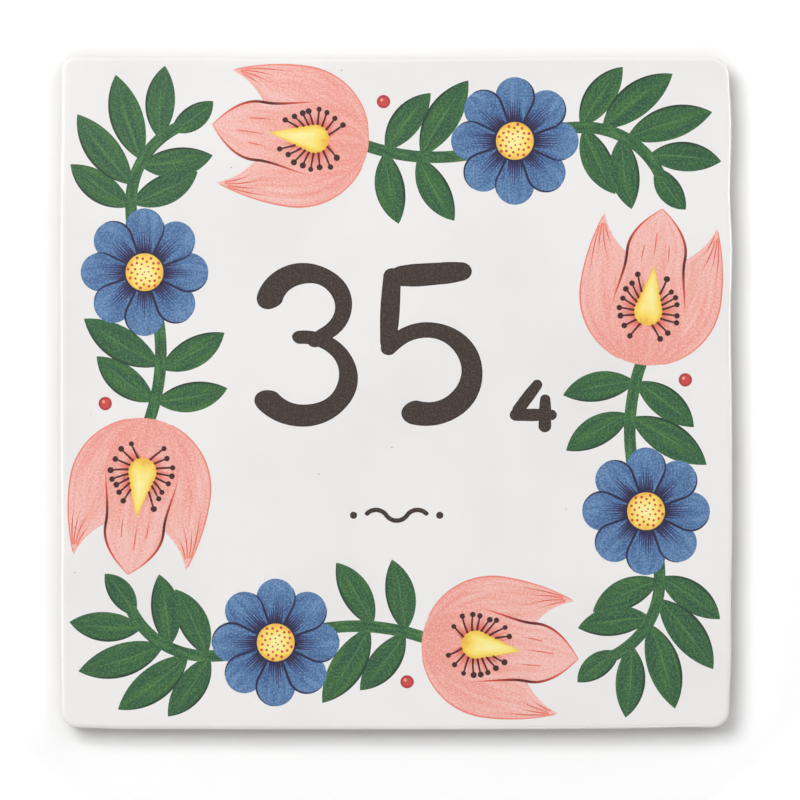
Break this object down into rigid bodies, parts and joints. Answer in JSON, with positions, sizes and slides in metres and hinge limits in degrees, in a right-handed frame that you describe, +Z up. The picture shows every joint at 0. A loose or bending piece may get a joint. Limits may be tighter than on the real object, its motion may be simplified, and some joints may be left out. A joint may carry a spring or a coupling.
{
  "type": "house number plaque",
  "caption": "Square glazed ceramic wall tile with a printed border of tulips, daisies and leaves, a place for a house number and a keyed flat back.",
  "frame": {"origin": "middle of the flat back, on the ribs that meet the wall", "axes": "+Z up as it hangs on the wall, +X to the viewer's right, the printed front faces -Y and the back faces +Y"},
  "size_m": [0.1498, 0.0081, 0.1499],
  "materials": {
    "glazed_body": "clear gloss glaze over white, bare biscuit on the back",
    "green_colour": "fired ceramic colour, gloss",
    "coral_colour": "fired ceramic colour, gloss",
    "blue_colour": "fired ceramic colour, gloss",
    "yellow_colour": "fired ceramic colour, gloss",
    "red_colour": "fired ceramic colour, gloss"
  },
  "bodies": {
    "root": {"tile": "glazed_body", "leaf_print": "green_colour", "tulip_print": "coral_colour", "daisy_print": "blue_colour", "centre_print": "yellow_colour", "berry_print": "red_colour"}
  },
  "joints": []
}
